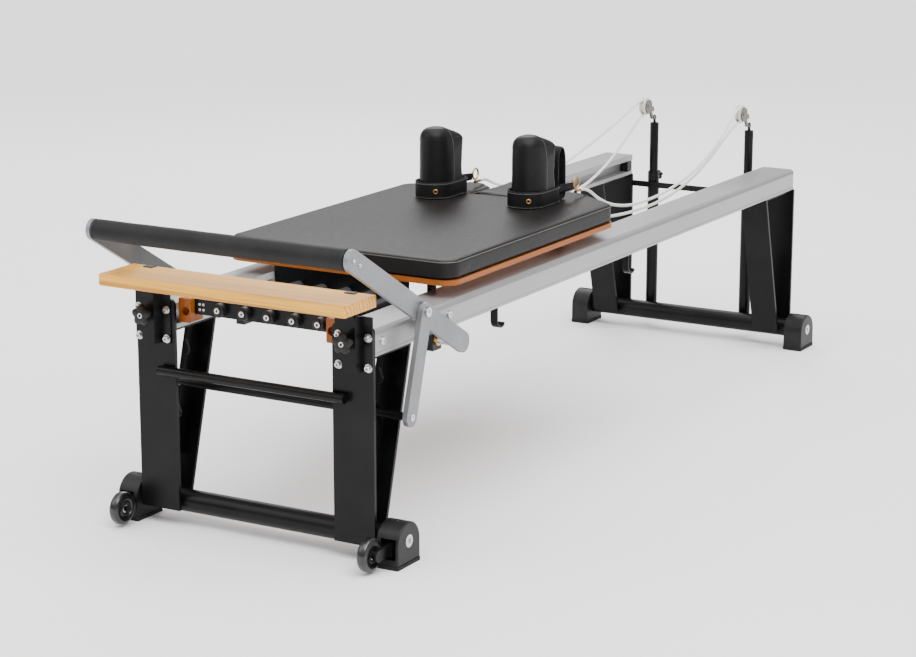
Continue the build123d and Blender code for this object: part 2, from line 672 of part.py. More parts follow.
# ---- build every node ----
def save_frame():
    save("left_rail", rail())
    save("right_rail", mirror(rail(), about=Plane.XZ))
    save("rail_end_plugs", *[copy for plug in rail_plug() for copy in mirrored(plug)])
    save("wood_end_blocks", *mirrored(end_block()))
    for end, shape in (("foot", foot_leg()), ("head", head_leg())):
        for side, hand in zip(SIDES, ("left", "right")):
            save(f"{end}_leg_{hand}", one_side(shape, side))
    tubes = [rod_y(x, TUBE_Z, TUBE_R, -352, 352) - rod_y(x, TUBE_Z, TUBE_R - 3, -353, 353)
             for x in (FOOT_TUBE_X, HEAD_TUBE_X)]
    save("lower_crossbars", *tubes)
    save("front_rod", rod_y(-PLATE - 11, 367, 11, -246, 246))
    save("head_upper_crossbar", block(RAIL_LENGTH, RAIL_LENGTH + 8, -240, 240, 426, 442))
    save("foot_blocks", *mirrored(foot_block(FOOT_TUBE_X, True)), *mirrored(foot_block(HEAD_TUBE_X, False)))
    save("foot_pads", *mirrored(foot_pad(FOOT_TUBE_X)), *mirrored(foot_pad(HEAD_TUBE_X)))
    plate_bolts = [copy for bolt in platform_bolts() for copy in mirrored(bolt)]
    save("frame_bolts", *screws_in_frame(), *plate_bolts)
    save("caster_brackets", *mirrored(wheel_arm()))
    for side, hand in zip(SIDES, ("left", "right")):
        save(f"caster_wheel_{hand}", *[one_side(piece, side) for piece in transport_wheel()])
    save("notched_plates", *mirrored(notched_plate()))
    save("rail_hooks", rail_hook(541), rail_hook(1225))


def save_platform():
    save("platform_brackets", *mirrored(platform_bracket()))
    save("platform_posts", *mirrored(platform_post()))
    save("platform_board", platform_board())
    for side, hand in zip(SIDES, ("left", "right")):
        save(f"platform_knob_{hand}", star_knob(-27.5, side * POST_Y, 497, 26, 15, 10, 8))


def save_footbar():
    block_shape, bush = bearing()
    save("bearing_blocks", *mirrored(block_shape))
    save("bronze_bushes", *mirrored(bush))
    save("footbar_arms", *mirrored(footbar_arm()))
    save("pivot_stubs", *mirrored(pivot_stub()))
    reach = ARM_OUT - ARM_THICK
    core = rod_y(*ROLLER, 15, -reach, reach)
    foam = rod_y(*ROLLER, 24, -reach + 3, reach - 3) - rod_y(*ROLLER, 15, -reach, reach)
    save("footbar_tube", core)
    save("foam_grip", foam)
    screws = [*footbar_screws(), strut_pivot()]
    save("footbar_screws", *[copy for screw in screws for copy in mirrored(screw)])
    save("struts", *mirrored(strut()))
    save("strut_rod", rod_y(*STRUT_ROD, 9, -ARM_OUT - 1, ARM_OUT + 1))
    save("strut_foot_bolts", *mirrored(strut_foot_bolt()))


def save_carriage():
    save("carriage_board", carriage_slab(BOARD_BOTTOM, BOARD_TOP, 40, 38))
    save("carriage_pad", carriage_slab(BOARD_TOP, PAD_TOP, 40, 38))
    save("headrest_board", headrest_slab(BOARD_BOTTOM, BOARD_TOP))
    save("headrest_pad", headrest_slab(BOARD_TOP, PAD_TOP))
    for side, hand in zip(SIDES, ("left", "right")):
        save(f"shoulder_rest_{hand}", one_side(shoulder_rest(), side))
    save("hand_loops", *bands_with_tails(), band_arch())
    save("loop_rings", *[piece for place in RINGS for piece in d_ring(*place)])
    hangers = [copy for x in WHEEL_STATIONS for copy in mirrored(wheel_hanger(x))]
    save("carriage_hangers", *hangers, hook_bar(), hinge_fixed(), rope_cleat(1), rope_cleat(-1))
    save("headrest_hinge", hinge_moving())
    save("front_track_wheels", *wheel_pair(WHEEL_STATIONS[0]))
    save("rear_track_wheels", *wheel_pair(WHEEL_STATIONS[1]))
    save("spring_bar", spring_bar())
    save("spring_anchors", *[spring_anchor(y) for y in SPRING_Y])
    save("springs", *[spring(y) for y in SPRING_Y])


def save_risers():
    save("riser_sleeves", *mirrored(riser_sleeve()))
    for side, hand in zip(SIDES, ("left", "right")):
        save(f"riser_tube_{hand}", one_side(riser_tube(), side))
        save(f"pulley_block_{hand}", one_side(pulley_block(), side))
        save(f"sheave_{hand}", one_side(sheave(), side))
        knob = star_knob(-RISER_X - 14.5, side * RISER_Y, 455, 15, 12, 6, 8)
        save(f"riser_knob_{hand}", mirror(knob, about=Plane.YZ))
    save("rope_right", rope("rope_right", ROPE_RIGHT_OUT, ROPE_RIGHT_BACK, -1))
    save("rope_left", rope("rope_left", ROPE_LEFT_OUT, ROPE_LEFT_BACK, 1))


save_frame()
save_platform()
save_footbar()
save_carriage()
save_risers()
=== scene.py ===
import json
import math
import bmesh
import bpy
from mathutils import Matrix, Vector


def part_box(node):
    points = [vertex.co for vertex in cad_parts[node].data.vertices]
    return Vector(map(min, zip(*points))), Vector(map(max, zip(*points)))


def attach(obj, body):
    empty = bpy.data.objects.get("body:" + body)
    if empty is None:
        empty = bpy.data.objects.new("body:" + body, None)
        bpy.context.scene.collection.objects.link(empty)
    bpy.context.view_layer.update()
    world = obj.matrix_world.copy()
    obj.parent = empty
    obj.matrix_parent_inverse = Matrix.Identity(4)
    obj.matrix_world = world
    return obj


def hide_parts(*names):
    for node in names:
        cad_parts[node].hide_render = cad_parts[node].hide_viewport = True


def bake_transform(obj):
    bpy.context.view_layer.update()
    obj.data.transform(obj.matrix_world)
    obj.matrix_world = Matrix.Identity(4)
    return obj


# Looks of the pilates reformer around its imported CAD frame. Metres, in the CAD frame:
# +X from the foot end to the head end, +Z up, z = 0 is the floor.
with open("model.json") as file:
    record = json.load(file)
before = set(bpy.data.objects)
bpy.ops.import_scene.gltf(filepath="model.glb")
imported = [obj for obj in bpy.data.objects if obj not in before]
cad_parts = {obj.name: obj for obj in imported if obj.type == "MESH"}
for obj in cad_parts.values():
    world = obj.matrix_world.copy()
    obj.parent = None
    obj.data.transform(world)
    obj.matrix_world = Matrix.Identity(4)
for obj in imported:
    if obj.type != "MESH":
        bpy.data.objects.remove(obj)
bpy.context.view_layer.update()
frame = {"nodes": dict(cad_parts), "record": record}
NODES = frame["nodes"]
SIDES = {"left": 1, "right": -1}


# ---- stations taken from the frame ----
def low(node):
    return Vector(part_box(node)[0])


def high(node):
    return Vector(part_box(node)[1])


def middle(node):
    return (low(node) + high(node)) / 2


RAIL_START = low("left_rail").x       # every route below is measured from the rails' foot end
PAD_TOP = high("carriage_pad").z
PAD_BOTTOM = low("carriage_pad").z


# ---- camera ----
def add_camera():
    camera = bpy.data.objects.new("camera", bpy.data.cameras.new("camera"))
    bpy.context.collection.objects.link(camera)
    camera.location = (RAIL_START - 4.3323, -3.0219, 1.7563)
    target = Vector((RAIL_START + 1.0, 0.0642, 0.2722))
    camera.rotation_euler = (target - camera.location).to_track_quat("-Z", "Y").to_euler()
    camera.data.sensor_width = 36
    camera.data.lens = 97.57
    camera.data.clip_end = 60
    bpy.context.scene.camera = camera


# ---- materials ----
class Shader:
    """A Principled material and short calls that add nodes to it."""

    def __init__(self, name, roughness=0.5, metallic=0.0, coat=0.0, sheen=0.0, specular=0.5):
        self.material = bpy.data.materials.new(name)
        self.material.use_nodes = True
        self.nodes = self.material.node_tree.nodes
        self.links = self.material.node_tree.links
        self.out = self.nodes["Principled BSDF"]
        self.out.inputs["Roughness"].default_value = roughness
        self.out.inputs["Metallic"].default_value = metallic
        self.out.inputs["Coat Weight"].default_value = coat
        self.out.inputs["Coat Roughness"].default_value = 0.12
        self.out.inputs["Sheen Weight"].default_value = sheen
        self.out.inputs["Specular IOR Level"].default_value = specular
        self.place = self.nodes.new("ShaderNodeTexCoord").outputs["Object"]

    def scaled(self, scale, turn=(0, 0, 0)):
        node = self.nodes.new("ShaderNodeMapping")
        node.inputs["Scale"].default_value = scale
        node.inputs["Rotation"].default_value = turn
        self.links.new(self.place, node.inputs["Vector"])
        return node.outputs["Vector"]

    def noise(self, scale, detail=4.0, turn=(0, 0, 0)):
        """Noise with features 1/scale metres apart along each axis."""
        node = self.nodes.new("ShaderNodeTexNoise")
        node.inputs["Scale"].default_value = 1.0
        node.inputs["Detail"].default_value = detail
        self.links.new(self.scaled(scale, turn), node.inputs["Vector"])
        return node.outputs["Fac"]

    def cells(self, scale):
        node = self.nodes.new("ShaderNodeTexVoronoi")
        node.inputs["Scale"].default_value = 1.0
        self.links.new(self.scaled(scale), node.inputs["Vector"])
        return node.outputs["Distance"]

    def wave(self, scale, direction="X", distortion=0.0, turn=(0, 0, 0)):
        node = self.nodes.new("ShaderNodeTexWave")
        node.bands_direction = direction
        node.inputs["Scale"].default_value = 1.0
        node.inputs["Distortion"].default_value = distortion
        self.links.new(self.scaled(scale, turn), node.inputs["Vector"])
        return node.outputs["Fac"]

    def ramp(self, value, stops):
        node = self.nodes.new("ShaderNodeValToRGB")
        elements = node.color_ramp.elements
        while len(elements) < len(stops):
            elements.new(0.5)
        for element, (place, color) in zip(elements, stops):
            element.position = place
            element.color = (*color, 1)
        self.links.new(value, node.inputs["Fac"])
        return node.outputs["Color"]

    def mix(self, share, first, second):
        """first where share is 0, second where it is 1."""
        node = self.nodes.new("ShaderNodeMix")
        node.data_type = "RGBA"
        for socket, value in (("Factor", share), ("A", first), ("B", second)):
            found = [s for s in node.inputs if s.name == socket and s.enabled][0]
            if isinstance(value, bpy.types.NodeSocket):
                self.links.new(value, found)
            else:
                found.default_value = value if socket == "Factor" else (*value, 1)
        return [s for s in node.outputs if s.enabled][0]

    def maths(self, kind, first, second=0.0):
        node = self.nodes.new("ShaderNodeMath")
        node.operation = kind
        for socket, value in zip(node.inputs, (first, second)):
            if isinstance(value, bpy.types.NodeSocket):
                self.links.new(value, socket)
            else:
                socket.default_value = value
        return node.outputs[0]

    def color(self, socket):
        self.links.new(socket, self.out.inputs["Base Color"])

    def rough(self, value, low_end, high_end):
        node = self.nodes.new("ShaderNodeMapRange")
        node.inputs["To Min"].default_value = low_end
        node.inputs["To Max"].default_value = high_end
        self.links.new(value, node.inputs["Value"])
        self.links.new(node.outputs["Result"], self.out.inputs["Roughness"])

    def bump(self, height, distance, strength=1.0):
        node = self.nodes.new("ShaderNodeBump")
        node.inputs["Distance"].default_value = distance
        node.inputs["Strength"].default_value = strength
        self.links.new(height, node.inputs["Height"])
        previous = self.out.inputs["Normal"]
        if previous.is_linked:
            self.links.new(previous.links[0].from_socket, node.inputs["Normal"])
        self.links.new(node.outputs["Normal"], previous)


def aluminium():
    """Satin anodised aluminium, finely drawn along its length."""
    s = Shader("aluminium", metallic=0.55)
    drawn = s.noise((1.5, 700, 700), 3)
    cloud = s.noise((3, 9, 9), 2)
    light, dark = (0.4, 0.4, 0.405), (0.34, 0.34, 0.345)
    s.color(s.ramp(s.maths("MULTIPLY", drawn, cloud), [(0.1, dark), (0.45, light)]))
    s.rough(drawn, 0.34, 0.44)
    s.bump(drawn, 0.00006, 0.5)
    return s.material


def arm_metal():
    """Bead-blasted grey anodised bar."""
    s = Shader("arm_metal", metallic=0.6)
    grain = s.noise((1500, 1500, 1500), 2)
    cloud = s.noise((14, 14, 14), 3)
    s.color(s.ramp(cloud, [(0.3, (0.2, 0.205, 0.215)), (0.7, (0.25, 0.255, 0.265))]))
    s.rough(cloud, 0.36, 0.46)
    s.bump(grain, 0.00005, 0.5)
    return s.material


def black_paint():
    """Textured black powder coat, a little paler where it is rubbed."""
    s = Shader("black_paint", specular=0.16)
    orange_peel = s.noise((520, 520, 520), 2)
    rubbed = s.noise((9, 9, 9), 6)
    s.color(s.ramp(rubbed, [(0.42, (0.0032, 0.0032, 0.0037)), (0.8, (0.0075, 0.0075, 0.0082))]))
    s.rough(rubbed, 0.24, 0.38)
    s.bump(orange_peel, 0.00008, 0.5)
    return s.material


def black_plastic():
    s = Shader("black_plastic", specular=0.28)
    grain = s.cells((900, 900, 900))
    cloud = s.noise((30, 30, 30), 4)
    s.color(s.ramp(cloud, [(0.3, (0.0045, 0.0045, 0.005)), (0.8, (0.01, 0.01, 0.011))]))
    s.rough(cloud, 0.36, 0.5)
    s.bump(grain, 0.00008, 0.5)
    return s.material


def plywood():
    """Oiled plywood: orange-brown plies seen edge on."""
    s = Shader("plywood", specular=0.3)
    grain = s.noise((16, 260, 900), 6)
    plies = s.wave((0, 0, 320), "Z", 0.6)
    light = s.ramp(grain, [(0.3, (0.24, 0.062, 0.004)), (0.7, (0.42, 0.125, 0.01))])
    dark = s.ramp(grain, [(0.3, (0.13, 0.03, 0.003)), (0.7, (0.27, 0.072, 0.007))])
    s.color(s.mix(plies, light, dark))
    s.rough(grain, 0.36, 0.52)
    s.bump(grain, 0.0001, 0.4)
    return s.material


def light_wood():
    """Lacquered ash board: grain along the board, darker streaks, end grain in rings."""
    s = Shader("light_wood", coat=0.12, specular=0.3)
    fibre = s.noise((420, 5, 420), 8)
    rings = s.wave((26, 0.9, 34), "X", 5.0, (0, 0.3, 0.04))
    pale = s.ramp(fibre, [(0.25, (0.6, 0.26, 0.026)), (0.75, (0.92, 0.48, 0.055))])
    streak = s.ramp(fibre, [(0.25, (0.3, 0.095, 0.007)), (0.75, (0.58, 0.235, 0.018))])
    share = s.ramp(rings, [(0.55, (0, 0, 0)), (1.0, (0.8, 0.8, 0.8))])
    s.color(s.mix(share, pale, streak))
    s.rough(fibre, 0.3, 0.45)
    s.bump(fibre, 0.0002, 0.4)
    return s.material


def rubber():
    s = Shader("rubber", specular=0.3)
    grain = s.noise((700, 700, 700), 4)
    s.color(s.ramp(grain, [(0.3, (0.005, 0.005, 0.005)), (0.7, (0.012, 0.012, 0.012))]))
    s.rough(grain, 0.6, 0.8)
    s.bump(grain, 0.0002, 0.5)
    return s.material


def tyre():
    """Glossy polyurethane of a skate wheel with a scuffed tread."""
    s = Shader("tyre", coat=0.3)
    scuff = s.noise((60, 160, 60), 6)
    s.color(s.ramp(scuff, [(0.35, (0.004, 0.004, 0.0045)), (0.75, (0.012, 0.012, 0.0125))]))
    s.rough(scuff, 0.2, 0.42)
    s.bump(scuff, 0.0001, 0.3)
    return s.material


def steel():
    s = Shader("steel", metallic=1.0)
    scratch = s.noise((500, 500, 60), 4)
    s.color(s.ramp(scratch, [(0.3, (0.5, 0.5, 0.5)), (0.7, (0.68, 0.68, 0.67))]))
    s.rough(scratch, 0.2, 0.36)
    s.bump(scratch, 0.00004, 0.5)
    return s.material


def dark_steel():
    """Burnished dark steel of the pulley cheeks."""
    s = Shader("dark_steel", metallic=0.9)
    scratch = s.noise((400, 400, 80), 5)
    s.color(s.ramp(scratch, [(0.3, (0.1, 0.098, 0.09)), (0.7, (0.2, 0.195, 0.18))]))
    s.rough(scratch, 0.25, 0.4)
    s.bump(scratch, 0.00005, 0.5)
    return s.material


def spring_steel():
    s = Shader("spring_steel", metallic=0.7)
    drawn = s.noise((300, 900, 900), 3)
    s.color(s.ramp(drawn, [(0.3, (0.02, 0.02, 0.022)), (0.7, (0.05, 0.05, 0.054))]))
    s.rough(drawn, 0.25, 0.4)
    s.bump(drawn, 0.00004, 0.4)
    return s.material


def bronze():
    """Brass and bronze, slightly tarnished."""
    s = Shader("bronze", metallic=1.0)
    tarnish = s.noise((90, 90, 90), 6)
    s.color(s.ramp(tarnish, [(0.35, (0.62, 0.36, 0.13)), (0.7, (0.42, 0.2, 0.07))]))
    s.rough(tarnish, 0.24, 0.42)
    s.bump(tarnish, 0.00005, 0.4)
    return s.material


def rope_fibre():
    """Off-white polyester fibre."""
    s = Shader("rope", sheen=0.3, specular=0.2)
    fibre = s.noise((260, 1600, 1600), 4)
    s.color(s.ramp(fibre, [(0.25, (0.6, 0.59, 0.55)), (0.6, (0.83, 0.82, 0.79))]))
    s.rough(fibre, 0.75, 0.9)
    s.bump(fibre, 0.0003, 0.5)
    return s.material


def vinyl(name, dark, pale):
    """Upholstery vinyl with a fine pebble grain."""
    s = Shader(name, specular=0.2)
    pebble = s.cells((520, 520, 520))
    crease = s.noise((150, 150, 150), 5)
    cloud = s.noise((5, 5, 5), 4)
    s.color(s.ramp(cloud, [(0.3, dark), (0.7, pale)]))
    s.rough(crease, 0.38, 0.52)
    s.bump(pebble, 0.00022, 0.6)
    s.bump(crease, 0.0003, 0.35)
    return s.material


def neoprene():
    """Black neoprene faced with a fine knit."""
    s = Shader("neoprene", specular=0.2)
    knit = s.wave((560, 560, 0), "DIAGONAL")
    rows = s.wave((0, 0, 560), "Z")
    cloth = s.maths("MULTIPLY", knit, rows)
    s.color(s.ramp(cloth, [(0.1, (0.003, 0.003, 0.0034)), (0.8, (0.008, 0.008, 0.0086))]))
    s.rough(cloth, 0.5, 0.7)
    s.bump(cloth, 0.0003, 0.6)
    return s.material


def thread():
    s = Shader("thread", sheen=0.2)
    twist = s.wave((900, 900, 900), "DIAGONAL")
    s.color(s.ramp(twist, [(0.2, (0.18, 0.175, 0.17)), (0.8, (0.36, 0.355, 0.35))]))
    s.rough(twist, 0.6, 0.8)
    s.bump(twist, 0.0002, 0.5)
    return s.material


def foam():
    """Closed-cell foam sleeve."""
    s = Shader("foam", specular=0.22)
    cell = s.cells((750, 750, 750))
    cloud = s.noise((12, 12, 12), 5)
    s.color(s.ramp(cloud, [(0.3, (0.006, 0.006, 0.0066)), (0.75, (0.014, 0.014, 0.015))]))
    s.rough(cloud, 0.5, 0.66)
    s.bump(cell, 0.0003, 0.7)
    return s.material


def white_plastic():
    s = Shader("white_plastic")
    cloud = s.noise((60, 60, 60), 5)
    s.color(s.ramp(cloud, [(0.3, (0.66, 0.63, 0.53)), (0.75, (0.8, 0.78, 0.7))]))
    s.rough(cloud, 0.35, 0.5)
    s.bump(cloud, 0.0002, 0.3)
    return s.material


def painted_highlight_seam():
    """Pale colour of the welts: a painted highlight along the pads' top edges and over the rests' sides."""
    s = Shader("painted_highlight_seam", specular=0.4)
    grain = s.noise((300, 300, 300), 3)
    s.color(s.ramp(grain, [(0.3, (0.06, 0.055, 0.052)), (0.7, (0.12, 0.11, 0.105))]))
    s.rough(grain, 0.35, 0.5)
    s.bump(grain, 0.0001, 0.4)
    return s.material


MATERIALS = {
    "aluminium": aluminium(), "arm_metal": arm_metal(), "black_paint": black_paint(),
    "black_plastic": black_plastic(), "plywood": plywood(), "light_wood": light_wood(),
    "rubber": rubber(), "tyre": tyre(), "steel": steel(), "dark_steel": dark_steel(),
    "spring_steel": spring_steel(), "bronze": bronze(), "rope": rope_fibre(), "foam": foam(),
    "webbing": neoprene(),
    "vinyl": vinyl("vinyl", (0.006, 0.0052, 0.005), (0.0115, 0.0098, 0.0094)),
    "black_vinyl": vinyl("black_vinyl", (0.0035, 0.0035, 0.0038), (0.007, 0.007, 0.0075)),
    # the last entry is pale paint standing in for the highlight on the welts
    "white_plastic": white_plastic(), "thread": thread(), "painted_highlight_seam": painted_highlight_seam()}


def paint(obj, name):
    obj.data.materials.clear()
    obj.data.materials.append(MATERIALS[name])
    return obj


def paint_frame():
    """Every CAD node takes the material of its slot in the record, apart from the few given another in
    special.
    """
    special = {
        "footbar_arms": "arm_metal", "struts": "arm_metal", "carriage_hangers": "black_paint",
        "pulley_block_left": "dark_steel", "pulley_block_right": "dark_steel"}
    for part in frame["record"]["subparts"]:
        node = part["node"]
        paint(NODES[node], special.get(node, part["material_slot"]))


# ---- mesh building ----
def add_mesh(name, bm, material, body=None, smooth=True):
    bmesh.ops.recalc_face_normals(bm, faces=bm.faces)
    mesh = bpy.data.meshes.new(name)
    bm.to_mesh(mesh)
    bm.free()
    obj = bpy.data.objects.new(name, mesh)
    bpy.context.collection.objects.link(obj)
    for face in mesh.polygons:
        face.use_smooth = smooth
    paint(obj, material)
    if body:
        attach(obj, body)
    return obj


def apply_modifiers(obj):
    bpy.context.view_layer.update()
    evaluated = obj.evaluated_get(bpy.context.evaluated_depsgraph_get())
    mesh = bpy.data.meshes.new_from_object(evaluated)
    obj.modifiers.clear()
    obj.data = mesh
    for face in mesh.polygons:
        face.use_smooth = True
    return obj


def bridge(bm, rings, closed_rings=True, closed_path=False):
    """Quads between each ring of vertices and the next."""
    pairs = list(zip(rings, rings[1:]))
    if closed_path:
        pairs.append((rings[-1], rings[0]))
    for first, second in pairs:
        count = len(first)
        for i in range(count if closed_rings else count - 1):
            j = (i + 1) % count
            bm.faces.new((first[i], first[j], second[j], second[i]))


def frames_along(points, closed=False):
    """Two directions square to the path at each point, turning as little as possible."""
    count = len(points)
    tangents = []
    for i in range(count):
        before = points[i - 1] if closed or i > 0 else points[i]
        after = points[(i + 1) % count] if closed or i < count - 1 else points[i]
        tangents.append((after - before).normalized())
    start = Vector((0, 0, 1)) if abs(tangents[0].z) < 0.9 else Vector((0, 1, 0))
    across = (start - tangents[0] * start.dot(tangents[0])).normalized()
    frames = []
    for tangent in tangents:
        across = (across - tangent * across.dot(tangent)).normalized()
        frames.append((across, tangent.cross(across)))
    return frames


def tube(bm, points, radius, sides=10, closed=False, shape=None, frames=None):
    """A tube along a path; shape(i, angle) scales its radius, and frames, if given, set its twist."""
    rings = []
    for i, (point, (u, v)) in enumerate(zip(points, frames or frames_along(points, closed))):
        ring = []
        for k in range(sides):
            angle = 2 * math.pi * k / sides
            r = radius * (shape(i, angle) if shape else 1)
            ring.append(bm.verts.new(point + (u * math.cos(angle) + v * math.sin(angle)) * r))
        rings.append(ring)
    bridge(bm, rings, True, closed)
    if not closed:
        bm.faces.new(rings[0])
        bm.faces.new(rings[-1])
    return rings


def lathe(bm, centre, axis, profile, steps=64):
    """Profile of (distance along the axis, radius) pairs turned round the axis; closed on itself."""
    axis = Vector(axis)
    u = Vector((0, 0, 1)) if abs(axis.z) < 0.5 else Vector((1, 0, 0))
    v = axis.cross(u)
    rings = []
    for k in range(steps):
        angle = 2 * math.pi * k / steps
        spoke = u * math.cos(angle) + v * math.sin(angle)
        rings.append([bm.verts.new(Vector(centre) + axis * d + spoke * r) for d, r in profile])
    bridge(bm, rings, True, True)


def resample(points, step, closed=False):
    """The same path with points about one step apart."""
    if closed:
        points = points + points[:1]
    lengths = [0.0]
    for a, b in zip(points, points[1:]):
        lengths.append(lengths[-1] + (b - a).length)
    count = max(2, round(lengths[-1] / step))
    result, at = [], 0
    for i in range(count if closed else count + 1):
        target = lengths[-1] * i / count
        while at < len(lengths) - 2 and lengths[at + 1] < target:
            at += 1
        span = max(lengths[at + 1] - lengths[at], 1e-9)
        result.append(points[at].lerp(points[at + 1], (target - lengths[at]) / span))
    return result


# ---- ropes ----
ROPE_RADIUS = 0.004
ROPE_STEP = 0.0016                    # between the rings of a rope's mesh
BRAID_LAY = 0.016                     # length of one turn of the braid
BRAID_STRANDS = 8
SHEAVE_AT = middle("sheave_right")
SHEAVE_WRAP = 0.021                   # radius of the rope's middle line round the sheave
ROPE_SPLIT = SHEAVE_AT.x - 0.09       # start listed for the stretch round the pulley
BLOCK_EDGE = SHEAVE_AT.x - 0.028      # from here on the rope moves with the riser
CLIP_HOLD = 0.012                     # added to a run's end x to give the start listed for it
# Control points in millimetres from the rails' foot end, as in the CAD part.
ROPE_RUNS = {
    "right": ([
        (1189.5, -185, 624.5), (1214, -182, 622), (1244, -176, 615), (1284, -167, 602),
        (1340, -158, 576), (1430, -150, 543), (1535, -151, 523), (1634, -150, 519),
        (1735, -151, 522), (1833, -152, 533), (1925, -153, 550), (2011, -152, 575),
        (2092, -153, 607), (2163, -152, 643), (2208, -153, 674)], [
        (2234, -153, 653), (2160, -153, 623), (2075, -151, 583), (1985, -150, 548),
        (1886, -148, 521), (1782, -147, 505), (1675, -147, 500), (1568, -149, 502),
        (1462, -150, 509), (1360, -149, 520), (1262, -150, 530), (1185, -151, 537),
        (1129, -150, 540)]),
    "left": ([
        (1201.5, 114, 620.5), (1222, 118, 619), (1250, 127, 615), (1288, 139, 605),
        (1344, 149, 585), (1436, 151, 561), (1545, 151, 549), (1648, 150, 562),
        (1750, 151, 582), (1852, 151, 603), (1950, 152, 624), (2044, 152, 646),
        (2130, 153, 669), (2199, 153, 690)], [
        (2234, 153, 650), (2164, 153, 614), (2083, 152, 571), (1993, 151, 533),
        (1896, 149, 506), (1793, 148, 491), (1686, 147, 487), (1578, 148, 491),
        (1470, 149, 501), (1366, 150, 514), (1266, 149, 527), (1188, 150, 536),
        (1129, 150, 540)])}


def spline_points(name, points):
    """Points read from a NURBS spline that has the given control points."""
    curve = bpy.data.curves.new(name, "CURVE")
    curve.dimensions = "3D"
    curve.resolution_u = 24
    spline = curve.splines.new("NURBS")
    spline.points.add(len(points) - 1)
    for target, point in zip(spline.points, points):
        target.co = (*point, 1)
    spline.order_u = 3
    spline.use_endpoint_u = True
    obj = bpy.data.objects.new(name, curve)
    bpy.context.collection.objects.link(obj)
    bpy.context.view_layer.update()
    mesh = bpy.data.meshes.new_from_object(obj.evaluated_get(bpy.context.evaluated_depsgraph_get()))
    found = [v.co.copy() for v in mesh.vertices]
    bpy.data.objects.remove(obj)
    return found


def rope(side):
    """Braided rope from the loop's clip round the sheave and back to the carriage."""
    outward, back = ROPE_RUNS[side]
    y = SIDES[side] * abs(SHEAVE_AT.y)
    far = SHEAVE_AT.x + SHEAVE_WRAP
    wrap = [
        (SHEAVE_AT.x - 0.014, y, SHEAVE_AT.z + SHEAVE_WRAP - 0.001),
        (far, y, SHEAVE_AT.z + SHEAVE_WRAP), (far, y, SHEAVE_AT.z - SHEAVE_WRAP)]
    runs = [[(RAIL_START + x / 1000, py / 1000, z / 1000) for x, py, z in run] for run in (outward, back)]
    path = resample(spline_points(f"route_{side}", runs[0] + wrap + runs[1]), ROPE_STEP)
    half_count = BRAID_STRANDS / 2

    def braid(i, angle):
        turn = 2 * math.pi * i * ROPE_STEP / BRAID_LAY
        over = abs(math.sin(half_count * (angle + turn))) * abs(math.sin(half_count * (angle - turn)))
        return 0.9 + 0.1 * over ** 0.5

    # the stretch at the pulley and the two runs become three meshes, each listed with a body name
    turn_at = [i for i, p in enumerate(path) if p.x >= ROPE_SPLIT]
    frames = frames_along(path)
    stretches = (
        ("out", 0, turn_at[0] + 1, "carriage", path[0].x + CLIP_HOLD),
        ("turn", turn_at[0], turn_at[-1] + 1, f"riser_{side}", BLOCK_EDGE),
        ("back", turn_at[-1], len(path), "carriage", path[-1].x + CLIP_HOLD))
    for name, first, last, body, start in stretches:
        part = path[first:last]
        bm = bmesh.new()
        tube(bm, part, ROPE_RADIUS, 20, shape=lambda i, a: braid(i + first, a), frames=frames[first:last])
        obj = add_mesh(f"braided_rope_{name}_{side}", bm, "rope")
        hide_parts(f"rope_{side}")
        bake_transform(obj)


# ---- springs ----
def coil_springs():
    """Five extension springs with a straight tail at each end."""
    box_low, box_high = low("springs"), high("springs")
    wire, pitch, tail = 0.0012, 0.0031, 0.01
    steps = 14                        # points in one turn
    radius = (box_high.z - box_low.z) / 2 - wire
    first_y, last_y = box_low.y + radius + wire, box_high.y - radius - wire
    z = (box_low.z + box_high.z) / 2
    bm = bmesh.new()
    for n in range(5):
        y = first_y + (last_y - first_y) * n / 4
        turns = (box_high.x - box_low.x - 2 * tail) / pitch
        points = [Vector((box_low.x, y, z))]
        for i in range(int(turns * steps)):
            angle = 2 * math.pi * i / steps
            x = box_low.x + tail + pitch * i / steps
            points.append(Vector((x, y + radius * math.cos(angle), z + radius * math.sin(angle))))
        points.append(Vector((box_high.x, y, z)))
        tube(bm, points, wire, 5)
    obj = add_mesh("coil_springs", bm, "spring_steel")
    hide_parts("springs")
    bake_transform(obj)


# ---- cushions ----
def cad_copy(node, name):
    mesh = NODES[node].data.copy()
    obj = bpy.data.objects.new(name, mesh)
    bpy.context.collection.objects.link(obj)
    return obj


def cushion(node, name, voxel, cap, shrink, body, material, floor=None, shape=None):
    """Foam pad in a sewn cover: remeshed CAD shape, puffed by a short cloth simulation."""
    obj = cad_copy(node, name)
    centre = middle(node)
    size = high(node) - low(node)
    for vertex in obj.data.vertices:
        for axis in range(3):
            offset = vertex.co[axis] - centre[axis]
            vertex.co[axis] = centre[axis] + offset * (1 - 2 * shrink / size[axis])
    remesh = obj.modifiers.new("remesh", "REMESH")
    remesh.mode = "VOXEL"
    remesh.voxel_size = voxel
    apply_modifiers(obj)
    relax = obj.modifiers.new("relax", "SMOOTH")
    relax.iterations = 2
    apply_modifiers(obj)
    puff(obj, cap)
    if shape is not None:
        for vertex in obj.data.vertices:
            vertex.co = shape(vertex.co)
    if floor is not None:
        for vertex in obj.data.vertices:
            vertex.co.z = max(vertex.co.z, floor)
    obj.modifiers.new("finer", "SUBSURF").levels = 1
    apply_modifiers(obj)
    obj.data.materials.clear()
    paint(obj, material)
    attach(obj, body)
    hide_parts(node)
    return obj


